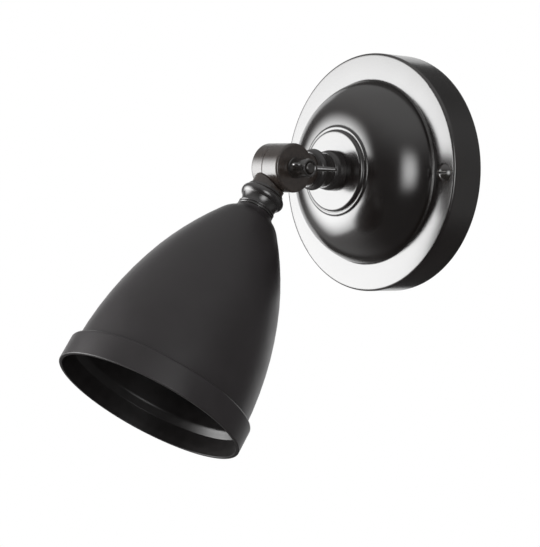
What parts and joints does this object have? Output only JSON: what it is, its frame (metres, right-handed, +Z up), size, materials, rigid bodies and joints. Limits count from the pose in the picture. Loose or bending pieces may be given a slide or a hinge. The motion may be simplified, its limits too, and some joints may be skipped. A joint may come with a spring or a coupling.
{
  "type": "wall spotlight",
  "caption": "Wall spotlight with a domed round backplate, a turned stem, a wing-nut knuckle that tilts and a bell-shaped metal shade with a banded mouth.",
  "frame": {"origin": "centre of the backplate's wall face, in the wall plane", "axes": "+Z up; +Y into the wall, so the light stands out along -Y; +X to the right of a person facing the wall, the side of the wing nut"},
  "size_m": [0.115, 0.1842, 0.1894],
  "materials": {
    "plate_finish": "satin dark bronze on a pressed plate",
    "shade_finish": "satin black bronze on a spun shade",
    "turned_bronze": "dark bronze patina on turned pieces",
    "knuckle_bronze": "brown bronze patina, lightly worn",
    "screw_bronze": "darkened slotted screws",
    "brass_plain": "plain brass",
    "zinc_steel": "zinc-plated steel",
    "block_plastic": "off-white moulded plastic",
    "holder_black": "black phenolic moulding",
    "fibre": "brown vulcanised fibre"
  },
  "bodies": {
    "wall_mount": {"backplate": "plate_finish", "wall_strap": "zinc_steel", "plate_screws": "screw_bronze", "terminal_block": "block_plastic", "terminal_screws": "zinc_steel", "block_screw": "zinc_steel", "earth_tag": "brass_plain", "earth_screw": "brass_plain", "stem_tube": "brass_plain", "back_washer": "zinc_steel", "back_nut": "brass_plain", "stem_collar": "turned_bronze", "stem_bead": "turned_bronze", "knuckle_fixed": "knuckle_bronze", "friction_disc": "fibre", "pivot_bolt": "screw_bronze"},
    "head": {"knuckle_moving": "knuckle_bronze", "shade_neck": "turned_bronze", "shade": "shade_finish", "shade_nut": "brass_plain", "holder_cap": "holder_black", "holder_body": "holder_black", "holder_ring": "holder_black", "holder_shell": "brass_plain", "holder_contact": "brass_plain"},
    "wing_nut": {"wing_nut": "knuckle_bronze"}
  },
  "joints": [
    {"name": "shade_tilt", "type": "hinge", "parent": "wall_mount", "child": "head", "pos_m": [0, -0.07524, 0], "axis": [1, 0, 0], "range_deg": [-150, 38]},
    {"name": "wing_nut_turn", "type": "hinge", "parent": "wall_mount", "child": "wing_nut", "pos_m": [0, -0.07524, 0], "axis": [1, 0, 0], "range_deg": [0, 180]}
  ]
}
